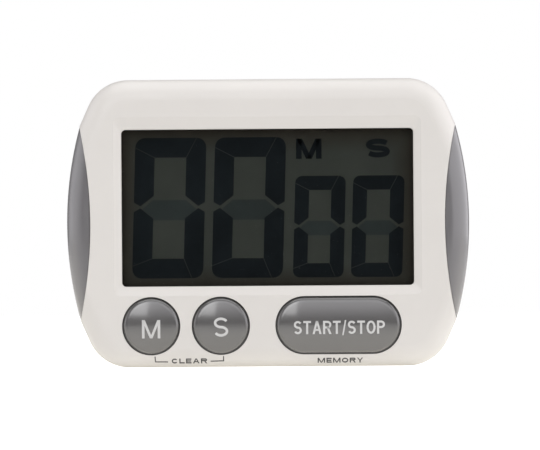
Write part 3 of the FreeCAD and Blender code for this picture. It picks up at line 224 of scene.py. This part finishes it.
def polariser_material():
    """Dark film, browner and darker towards the edge of the window: painted shade of the bezel in front of
    it.
    """
    material, tree, shader = new_material("polariser_dark")
    place = object_place(tree)
    low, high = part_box("lcd_front_polariser")
    middle = (Vector(low) + Vector(high)) / 2
    half = (Vector(high) - Vector(low)) / 2
    across, _, up = axes(tree, place)
    edges = []
    for value, axis in ((across, 0), (up, 2)):
        off_centre = maths(tree, "ABSOLUTE", maths(tree, "SUBTRACT", value, middle[axis]))
        edges.append(spread(tree, off_centre, 0.0, 1.0, half[axis] - BEZEL_SHADE_INNER_MM * MM,
                            half[axis] - BEZEL_SHADE_OUTER_MM * MM))
    bezel_shade = maths(tree, "MAXIMUM", *edges)
    cloud = noise(tree, place, 12.0, 3.0)
    ground = blend_colours(tree, spread(tree, cloud, 0.0, 1.0), (0.046, 0.05, 0.0445),
                           (0.051, 0.0545, 0.049))
    # The browner, darker colour near the edges of the window is painted shade of the bezel.
    tree.links.new(blend_colours(tree, bezel_shade, ground, (0.038, 0.033, 0.027)),
                   shader.inputs["Base Color"])
    shader.inputs["Specular IOR Level"].default_value = 0.0
    tree.links.new(spread(tree, noise(tree, place, 3.0), 0.4, 0.55), shader.inputs["Roughness"])
    return material


def board_material():
    """Green laminate with copper tracks showing faintly through the solder mask."""
    material, tree, shader = new_material("board_green")
    place = object_place(tree)
    bricks = tree.nodes.new("ShaderNodeTexBrick")
    bricks.inputs["Scale"].default_value = 160.0
    bricks.inputs["Mortar Size"].default_value = 0.06
    bricks.inputs["Color1"].default_value = (0.012, 0.085, 0.03, 1.0)
    bricks.inputs["Color2"].default_value = (0.014, 0.1, 0.035, 1.0)
    bricks.inputs["Mortar"].default_value = (0.03, 0.16, 0.06, 1.0)
    turn = tree.nodes.new("ShaderNodeMapping")
    turn.inputs["Rotation"].default_value = (math.pi / 2, 0.0, 0.0)
    tree.links.new(place, turn.inputs["Vector"])
    tree.links.new(turn.outputs[0], bricks.inputs["Vector"])
    tree.links.new(bricks.outputs["Color"], shader.inputs["Base Color"])
    tree.links.new(spread(tree, noise(tree, place, 2.0), 0.25, 0.4), shader.inputs["Roughness"])
    bump = tree.nodes.new("ShaderNodeBump")
    bump.inputs["Distance"].default_value = 0.02 * MM
    tree.links.new(bricks.outputs["Fac"], bump.inputs["Height"])
    tree.links.new(bump.outputs["Normal"], shader.inputs["Normal"])
    return material


def cell_material():
    """Printed film round a steel can: plain metal at the ends, a bright band at the positive end."""
    material, tree, shader = new_material("cell_film")
    place = object_place(tree)
    low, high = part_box("battery_cell")
    ramp = tree.nodes.new("ShaderNodeValToRGB")
    ramp.color_ramp.interpolation = "CONSTANT"
    stops = ((0.0, (0.6, 0.6, 0.58)), (0.02, (0.012, 0.02, 0.09)), (0.72, (0.55, 0.36, 0.08)),
             (0.965, (0.6, 0.6, 0.58)))
    elements = ramp.color_ramp.elements
    while len(elements) < len(stops):
        elements.new(0.5)
    for element, (position, colour) in zip(elements, stops):
        element.position = position
        element.color = (*colour, 1.0)
    along = axes(tree, place)[0]
    tree.links.new(spread(tree, along, 0.0, 1.0, low[0], high[0]), ramp.inputs[0])
    cloud = noise(tree, place, 5.0, 3.0)
    worn = blend_colours(tree, spread(tree, cloud, 0.0, 0.15), ramp.outputs["Color"], (0.3, 0.3, 0.3))
    tree.links.new(worn, shader.inputs["Base Color"])
    tree.links.new(spread(tree, noise(tree, place, 1.5), 0.2, 0.35), shader.inputs["Roughness"])
    shader.inputs["Metallic"].default_value = 0.5
    return material


FINISHES = {
    "shell_plastic": shell, "grip_plastic": grip, "button_plastic": button, "lens_plastic": lens,
    "gasket_foam": foam, "polariser_film": polariser_material(), "lcd_glass": glass, "reflector_film": film,
    "frame_plastic": natural, "screw_steel": zinc, "zebra_rubber": zebra, "board_laminate": board_material(),
    "epoxy": epoxy, "crystal_can": nickel, "chip_ceramic": chip, "keypad_rubber": silicone,
    "carbon_pill": carbon, "magnet_plating": magnet, "cell_jacket": cell_material(), "contact_steel": nickel,
    "buzzer_brass": brass, "buzzer_ceramic": silvered,
}
for part in frame["record"]["subparts"]:
    node = nodes[part["node"]]
    node.data.materials.clear()
    node.data.materials.append(FINISHES[part["material_slot"]])


# ---------------------------------------------------------------- shape helpers
def put(name, mesh, material, body):
    """Place a mesh in the scene as a piece that rides on a body."""
    piece = bpy.data.objects.new(name, mesh)
    bpy.context.collection.objects.link(piece)
    mesh.materials.append(material)
    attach(piece, body)


def add_piece(name, verts, faces, material, body):
    mesh = bpy.data.meshes.new(name)
    mesh.from_pydata(verts, [], faces)
    mesh.update()
    put(name, mesh, material, body)


def inset(points, distance):
    """A polygon moved inward by distance; the points run counter-clockwise."""
    moved = []
    count = len(points)
    for i in range(count):
        before, here, after = (Vector(points[(i + k) % count]) for k in (-1, 0, 1))
        first = (here - before).normalized()
        second = (after - here).normalized()
        normals = [Vector((-d.y, d.x)) for d in (first, second)]
        middle = (normals[0] + normals[1]).normalized()
        moved.append(here + middle * distance / max(middle.dot(normals[0]), 0.3))
    return moved


def arc(cx, cz, radius, start, end, steps=5):
    """Points on an arc between two angles in degrees."""
    points = []
    for i in range(steps + 1):
        angle = math.radians(start + (end - start) * i / steps)
        points.append((cx + radius * math.cos(angle), cz + radius * math.sin(angle)))
    return points


def segments(width, height, stroke):
    """Seven segments of one digit, counter-clockwise, in millimetres from its lower left corner."""
    w, h, t = width, height, stroke
    mid = 0.507 * h
    r = 0.49 * t
    tip_in, tip_up = 0.34 * t, 0.04 * t
    outer_up, inner_up = 0.23 * t, 0.56 * t
    top_left = arc(r, h - r, r, 180, 90)
    top_right = arc(w - r, h - r, r, 90, 0)
    low_left = arc(r, r, r, 270, 180)
    low_right = arc(w - r, r, r, 360, 270)
    upper_left = [(0, mid + outer_up), (tip_in, mid + tip_up), (t, mid + inner_up), (t, h - t), (0, h - r)]
    lower_left = [(0, mid - outer_up), (0, 0.62 * t), (t, t), (t, mid - inner_up), (tip_in, mid - tip_up)]
    top = [(t, h - t), (w - t, h - t), (w - r, h)] + top_left[::-1]
    bottom = [(t, t), (0, 0.62 * t)] + low_left[::-1] + [(w - 0.56 * t, 0), (w - t, t)]
    upper_right = [(w - t, h - t), (w - t, mid + inner_up), (w - tip_in, mid + tip_up), (w, mid + outer_up)]
    upper_right += top_right[::-1]
    lower_right = [(w - t, t), (w - 0.56 * t, 0)] + low_right[::-1]
    lower_right += [(w, mid - outer_up), (w - tip_in, mid - tip_up), (w - t, mid - inner_up)]
    middle = [(0.42 * t, mid - 0.1 * t), (0.95 * t, mid - 0.66 * t), (w - 0.95 * t, mid - 0.66 * t),
              (w - 0.42 * t, mid - 0.1 * t), (w - 0.95 * t, mid + 0.36 * t), (0.95 * t, mid + 0.36 * t)]
    return {"a": top, "b": upper_right, "c": lower_right, "d": bottom, "e": lower_left, "f": upper_left,
            "g": middle}


def area(points):
    return sum(p[0] * q[1] - q[0] * p[1] for p, q in zip(points, points[1:] + points[:1])) / 2


def display_piece(name, polygons, y_mm, material):
    """Flat polygons on the display, facing the front."""
    verts, faces = [], []
    for points in polygons:
        start = len(verts)
        verts += [(x * MM, y_mm * MM, z * MM) for x, z in points]
        faces.append(tuple(range(start, len(verts))))
    add_piece(name, verts, faces, material, "casing")


# ---------------------------------------------------------------- display
segment_dark = moulded("lcd_segment_dark", (0.0105, 0.013, 0.0155), 0.6, 0.5, 0.001, 0.2, specular=0.0)
segment_ghost = moulded("lcd_segment_ghost", (0.032, 0.038, 0.038), 0.6, 0.5, 0.001, 0.1, specular=0.0)
SLANT = math.tan(math.radians(1.8))
GAP_MM = 0.055                  # each segment is this much smaller all round
LIT_LIFT_MM = 0.03              # dark segments and marks in front of the film
UNLIT_LIFT_MM = 0.02
# each digit: left edge, lower edge, width, height and stroke, in mm
DIGITS = ((-33.2, 21.6, 17.4, 34.3, 4.9), (-13.8, 21.6, 17.4, 34.3, 4.9),
          (5.95, 21.6, 12.4, 24.8, 3.55), (20.05, 21.6, 12.6, 24.8, 3.55))
polariser_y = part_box("lcd_front_polariser")[0][1] / MM
lit = []
unlit = []
for x0, z0, wide, high, stroke_mm in DIGITS:
    for key, points in segments(wide, high, stroke_mm).items():
        if area(points) < 0:
            points = points[::-1]
        points = inset(points, GAP_MM)
        placed = [(x0 + x + SLANT * z, z0 + z) for x, z in points]
        (unlit if key == "g" else lit).append(placed)
display_piece("lcd_lit_segments", lit, polariser_y - LIT_LIFT_MM, segment_dark)
display_piece("lcd_unlit_segments", unlit, polariser_y - UNLIT_LIFT_MM, segment_ghost)


# ---------------------------------------------------------------- printed legends
CELL_MM = 0.45                  # a print is cut this fine to follow a curved surface
RAY_START_Y = -0.05             # well in front of the timer


def node_tree_of(node_name):
    mesh = nodes[node_name].data
    return BVHTree.FromPolygons([v.co for v in mesh.vertices], [tuple(p.vertices) for p in mesh.polygons])


def bar(x0, z0, x1, z1):
    return [(x0, z0), (x1, z0), (x1, z1), (x0, z1)]


def slant(top_x, top_z, low_x, low_z, stroke):
    """Sloping stroke with level ends."""
    half = stroke / 2
    return [(low_x - half, low_z), (low_x + half, low_z), (top_x + half, top_z), (top_x - half, top_z)]


def strip(points, stroke, closed=False):
    """Quads along a curved centre line."""
    points = [Vector(p) for p in points]
    count = len(points)
    sides = []
    for i, here in enumerate(points):
        before = points[i - 1] if i or closed else here
        after = points[(i + 1) % count] if i < count - 1 or closed else here
        along = (after - before).normalized()
        across = Vector((-along.y, along.x)) * stroke / 2
        sides.append((here + across, here - across))
    pairs = list(zip(sides, sides[1:])) + ([(sides[-1], sides[0])] if closed else [])
    return [[tuple(a), tuple(b), tuple(d), tuple(c)] for (a, b), (c, d) in pairs]


def oval(cx, cz, rx, rz, start, end, steps):
    return [(cx + rx * math.cos(math.radians(start + (end - start) * i / steps)),
             cz + rz * math.sin(math.radians(start + (end - start) * i / steps))) for i in range(steps + 1)]


LETTER_WIDTHS = {"M": 1.25, "S": 0.95, "T": 0.92, "A": 1.08, "R": 1.0, "O": 1.08, "P": 0.95, "/": 0.5,
                 "C": 1.0, "L": 0.85, "E": 0.88, "Y": 1.0}


def letter(key, w, h, t):
    """Strokes of a plain capital in a box of w by h with stroke t."""
    half = t / 2
    bowl = h * 0.29
    if key == "M":
        return [bar(0, 0, t, h), bar(w - t, 0, w, h), slant(t * 0.6, h, w / 2, 0, t),
                slant(w - t * 0.6, h, w / 2, 0, t)]
    if key == "S":
        rx, rz = w / 2 - half, (h / 2 - half) / 2
        upper = oval(w / 2, h - half - rz, rx, rz, 25, 270, 14)
        lower = oval(w / 2, half + rz, rx, rz, 90, -155, 14)
        return strip(upper + lower[1:], t)
    if key == "T":
        return [bar(0, h - t, w, h), bar(w / 2 - half, 0, w / 2 + half, h - t)]
    if key == "A":
        return [slant(w / 2, h, half, 0, t), slant(w / 2, h, w - half, 0, t),
                bar(w * 0.25, h * 0.25, w * 0.75, h * 0.25 + t * 0.85)]
    if key in "RP":
        turn = oval(w - bowl, h - bowl, bowl - half, bowl - half, 90, -90, 8)
        curve = [(t, h - half)] + turn + [(t, h - 2 * bowl + half)]
        strokes = [bar(0, 0, t, h)] + strip(curve, t)
        return strokes + ([slant(w * 0.5, h - 2 * bowl + t, w - half, 0, t * 1.1)] if key == "R" else [])
    if key == "O":
        return strip(oval(w / 2, h / 2, w / 2 - half, h / 2 - half, 0, 360, 24)[:-1], t, closed=True)
    if key == "C":
        return strip(oval(w / 2, h / 2, w / 2 - half, h / 2 - half, 42, 318, 18), t)
    if key == "/":
        return [slant(w - half * 0.7, h * 1.05, half * 0.7, -h * 0.1, t * 0.7)]
    if key == "L":
        return [bar(0, 0, t, h), bar(t, 0, w, t)]
    if key == "E":
        return [bar(0, 0, t, h), bar(t, 0, w, t), bar(t, h - t, w, h),
                bar(t, (h - t) / 2, w * 0.92, (h + t) / 2)]
    if key == "Y":
        return [slant(half, h, w / 2, h * 0.4, t), slant(w - half, h, w / 2, h * 0.4, t),
                bar(w / 2 - half, 0, w / 2 + half, h * 0.42)]
    raise ValueError(key)


def word_shapes(text, centre, size, stroke, gap):
    """Polygons of a word that fills size about centre, in mm."""
    width, height = size
    unit = (width - gap * (len(text) - 1)) / sum(LETTER_WIDTHS[key] for key in text)
    shapes = []
    x = centre[0] - width / 2
    for key in text:
        w = LETTER_WIDTHS[key] * unit
        shapes += [[(x + px, centre[1] - height / 2 + pz) for px, pz in shape]
                   for shape in letter(key, w, height, stroke)]
        x += w + gap
    return shapes


def legend(name, text, centre, size, stroke, gap, material, body, node_name=None, flat_y=None):
    """A word printed on a surface: size is its width and height in mm, centre its x and z."""
    work = bmesh.new()
    for shape in word_shapes(text, centre, size, stroke, gap):
        work.faces.new([work.verts.new((x * MM, 0.0, z * MM)) for x, z in shape])
    drape(work, centre, size, node_name, flat_y)
    finish_print(work, name, material, body)


def drape(work, centre, size, node_name, flat_y=None):
    """Cut a flat print into small cells and lay it on a node's front, or put it at one depth."""
    if flat_y is None:
        for axis, normal in ((0, (1, 0, 0)), (1, (0, 0, 1))):
            cuts = int(size[axis] / CELL_MM)
            for k in range(-cuts // 2, cuts // 2 + 1):
                at = [centre[0] * MM, 0.0, centre[1] * MM]
                at[0 if axis == 0 else 2] += k * CELL_MM * MM
                bmesh.ops.bisect_plane(work, geom=work.verts[:] + work.edges[:] + work.faces[:], plane_co=at,
                                       plane_no=normal)
        surface = node_tree_of(node_name)
        for v in work.verts:
            hit = surface.ray_cast(Vector((v.co.x, RAY_START_Y, v.co.z)), Vector((0, 1, 0)))
            normal = hit[1] if hit[1].y < 0 else -hit[1]
            v.co = hit[0] + normal * PRINT_LIFT_MM * MM
    else:
        for v in work.verts:
            v.co.y = flat_y * MM
    bmesh.ops.triangulate(work, faces=work.faces[:])


def finish_print(work, name, material, body):
    work.normal_update()
    bmesh.ops.reverse_faces(work, faces=[f for f in work.faces if f.normal.y > 0])
    mesh = bpy.data.meshes.new(name)
    work.to_mesh(mesh)
    work.free()
    for polygon in mesh.polygons:
        polygon.use_smooth = True
    put(name, mesh, material, body)


def line_print(name, runs, width_mm, material, body, node_name):
    """Printed lines with square ends along runs of points."""
    work = bmesh.new()
    for run in runs:
        points = [Vector(p) for p in run]
        sides = []
        for i, here in enumerate(points):
            before = points[max(i - 1, 0)]
            after = points[min(i + 1, len(points) - 1)]
            first = (here - before).normalized() if i else (after - here).normalized()
            second = (after - here).normalized() if i < len(points) - 1 else first
            across = Vector((-(first + second).y, (first + second).x)).normalized()
            reach = width_mm / 2 / max(across.dot(Vector((-first.y, first.x))), 0.4)
            sides.append((here + across * reach, here - across * reach))
        rows = [[work.verts.new((p.x * MM, 0.0, p.y * MM)) for p in pair] for pair in sides]
        for (a, b), (c, d) in zip(rows, rows[1:]):
            work.faces.new((a, c, d, b))
    xs = [v.co.x / MM for v in work.verts]
    zs = [v.co.z / MM for v in work.verts]
    centre = ((min(xs) + max(xs)) / 2, (min(zs) + max(zs)) / 2)
    drape(work, centre, (max(xs) - min(xs), max(zs) - min(zs)), node_name)
    finish_print(work, name, material, body)


mark_y = polariser_y - LIT_LIFT_MM
legend("lcd_minutes_mark", "M", (10.1, 52.95), (6.2, 4.9), 1.35, 0, segment_dark, "casing",
       flat_y=mark_y)
legend("lcd_seconds_mark", "S", (26.9, 53.0), (5.9, 4.6), 1.25, 0, segment_dark, "casing",
       flat_y=mark_y)
legend("minutes_legend", "M", (-28.43, 9.4), (4.45, 4.45), 0.64, 0, print_light, "minutes_button",
       "minutes_button")
legend("seconds_legend", "S", (-11.46, 9.8), (3.5, 4.65), 0.62, 0, print_light, "seconds_button",
       "seconds_button")
legend("start_stop_legend", "START/STOP", (17.25, 9.54), (22.1, 3.2), 0.51, 0.36, print_light,
       "start_stop_button", "start_stop_button")
legend("clear_legend", "CLEAR", (-19.25, 1.6), (8.6, 1.22), 0.3, 0.35, print_dark, "casing",
       "front_shell")
legend("memory_legend", "MEMORY", (17.4, 1.54), (11.0, 1.2), 0.29, 0.34, print_dark, "casing",
       "front_shell")
line_print("clear_bracket", [[(-27.58, 2.75), (-27.5, 1.42), (-24.45, 1.38)],
                             [(-14.1, 1.5), (-10.95, 1.58), (-10.95, 2.75)]], 0.25, print_dark, "casing",
           "front_shell")


# ---------------------------------------------------------------- screw recesses, drawn as painted shade
def cross(centre_x, centre_z, reach, half):
    """Outline of a cross recess: reach is its arm's length, half is half its arm's width."""
    arm = [(reach, -half), (reach, half), (half, half)]
    outline = []
    for _ in range(4):
        outline += arm
        arm = [(-z, x) for x, z in arm]
    return [(centre_x + x, centre_z + z) for x, z in outline]


RECESS_REACH_MM = 1.05
RECESS_HALF_MM = 0.26
RECESS_LIFT_MM = 0.015
screw_low, screw_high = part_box("case_screws")
head_y = screw_high[1] / MM
head_radius = (screw_high[2] - screw_low[2]) / 2 / MM
screw_z = (screw_high[2] + screw_low[2]) / 2 / MM
screw_x = screw_high[0] / MM - head_radius
# Each recess is a flat dark cross on the screw head: painted shade in place of the hollow.
recess_verts = []
recess_faces = []
for side in (-1, 1):
    start = len(recess_verts)
    outline = cross(side * screw_x, screw_z, RECESS_REACH_MM, RECESS_HALF_MM)
    recess_verts += [(x * MM, (head_y + RECESS_LIFT_MM) * MM, z * MM) for x, z in outline]
    recess_faces.append(tuple(range(len(recess_verts) - 1, start - 1, -1)))
add_piece("case_screw_recess_shade", recess_verts, recess_faces, socket, "casing")


# ---------------------------------------------------------------- floor
def floor_material():
    """Pale floor that gives off light of its own, most of it close to the timer: a painted pool of light
    round the timer, and a warm glow seen only in reflections, a painted reflection in shiny parts.
    """
    material, tree, shader = new_material("floor_pale")
    place = object_place(tree)
    cloud = noise(tree, place, 300.0, 3.0)
    tree.links.new(blend_colours(tree, spread(tree, cloud, 0.0, 1.0), (0.82, 0.81, 0.78), (0.85, 0.84, 0.81)),
                   shader.inputs["Base Color"])
    tree.links.new(spread(tree, noise(tree, place, 40.0, 3.0), 0.55, 0.65), shader.inputs["Roughness"])
    # Glossy rays see a warm glow, stronger close to the timer: painted reflection in the caps.
    ray = tree.nodes.new("ShaderNodeLightPath")
    mirrored = ray.outputs["Is Glossy Ray"]
    warm = blend_colours(tree, mirrored, (1.0, 1.0, 1.0), (1.0, 0.93, 0.74))
    tree.links.new(warm, shader.inputs["Emission Color"])
    away = maths(tree, "ABSOLUTE", axes(tree, place)[1])
    # Light given off most strongly close to the timer: a painted pool of light.
    near = spread(tree, away, 0.3, 0.05, 0.0105, 0.018)
    seen = spread(tree, ray.outputs["Is Camera Ray"], 0.0, 0.8, 0.0, 1.0)
    reflection_glow = spread(tree, away, 0.4, 0.0, 0.02, 0.16)
    tree.links.new(maths(tree, "MULTIPLY_ADD", mirrored, reflection_glow, maths(tree, "ADD", near, seen)),
                   shader.inputs["Emission Strength"])
    return material


FLOOR_RADIUS = 0.75
FLOOR_SIDES = 96
floor_mesh = bpy.data.meshes.new("floor")
floor_rim = arc(0.0, 0.0, FLOOR_RADIUS, 0, 360, FLOOR_SIDES)[:-1]
floor_mesh.from_pydata([(x, y, 0.0) for x, y in floor_rim], [], [tuple(range(FLOOR_SIDES))])
floor = bpy.data.objects.new("floor", floor_mesh)
bpy.context.collection.objects.link(floor)
floor_mesh.materials.append(floor_material())


# ---------------------------------------------------------------- light
AIM = (0.0, 0.0, 0.035)


def area_light(name, place, size, power):
    """Square softbox that faces the timer."""
    lamp = bpy.data.lights.new(name, "AREA")
    lamp.shape = "RECTANGLE"
    lamp.size = size
    lamp.size_y = size
    lamp.energy = power
    holder = bpy.data.objects.new(name, lamp)
    bpy.context.collection.objects.link(holder)
    holder.location = place
    holder.rotation_euler = (Vector(AIM) - Vector(place)).to_track_quat("-Z", "Y").to_euler()


area_light("softbox_top", (0.0, -0.1, 1.1), 1.4, 9.0)
area_light("softbox_right", (0.9, -0.5, 0.4), 0.5, 0.1)
area_light("softbox_key", (-0.27, -0.84, 0.31), 0.34, 0.75)

world = bpy.data.worlds.new("studio")
bpy.context.scene.world = world
world.use_nodes = True
sky = world.node_tree
sky.nodes.clear()
sky_out = sky.nodes.new("ShaderNodeOutputWorld")
path = sky.nodes.new("ShaderNodeLightPath")
direction = sky.nodes.new("ShaderNodeTexCoord").outputs["Generated"]
toward_x, toward_y, toward_z = axes(sky, direction)
left_wall = spread(sky, toward_x, 1.3, 0.0, -0.97, -0.66)
right_wall = spread(sky, toward_x, 0.0, 1.5, 0.52, 0.66)
far_walls = spread(sky, toward_y, 0.015, 0.22, -0.9, -0.35)
walls = maths(sky, "ADD", maths(sky, "ADD", left_wall, right_wall), far_walls)
in_front = spread(sky, toward_y, 1.0, 0.0, -0.85, -0.7)
overhead = spread(sky, toward_z, 0.0, 1.88, 0.06, 0.36)
room_light = maths(sky, "MULTIPLY_ADD", in_front, overhead, walls)
studio = sky.nodes.new("ShaderNodeBackground")
studio.inputs["Color"].default_value = (0.98, 0.965, 1.0, 1.0)
sky.links.new(room_light, studio.inputs["Strength"])
backdrop = sky.nodes.new("ShaderNodeBackground")
backdrop.inputs["Color"].default_value = (1.0, 1.0, 1.0, 1.0)
backdrop.inputs["Strength"].default_value = 1.0
choose = sky.nodes.new("ShaderNodeMixShader")
sky.links.new(path.outputs["Is Camera Ray"], choose.inputs[0])
sky.links.new(studio.outputs[0], choose.inputs[1])
sky.links.new(backdrop.outputs[0], choose.inputs[2])
sky.links.new(choose.outputs[0], sky_out.inputs["Surface"])

bpy.context.scene.view_settings.view_transform = "Standard"

# ---------------------------------------------------------------- camera
VIEW_WIDTH_MM = 131.0           # what the view takes in at the front face
FACE_DEPTH = 0.0102             # front face before the origin
SENSOR_MM = 36.0
DISTANCE = 1.3
AZIMUTH = math.radians(1.0)
ROLL = math.radians(0.42)
camera_data = bpy.data.cameras.new("camera")
camera_data.sensor_fit = "HORIZONTAL"
camera_data.sensor_width = SENSOR_MM
camera_data.lens = SENSOR_MM * (DISTANCE - FACE_DEPTH) / (VIEW_WIDTH_MM * MM)
camera_data.clip_start = 0.01
camera = bpy.data.objects.new("camera", camera_data)
bpy.context.collection.objects.link(camera)
target = Vector((0.00041, 0.0, 0.03447))
away = Vector((math.sin(AZIMUTH), -math.cos(AZIMUTH), 0.0))
camera.location = target + away * DISTANCE
camera.rotation_euler = (-away).to_track_quat("-Z", "Y").to_euler()
camera.rotation_euler.rotate_axis("Z", -ROLL)
bpy.context.scene.camera = camera
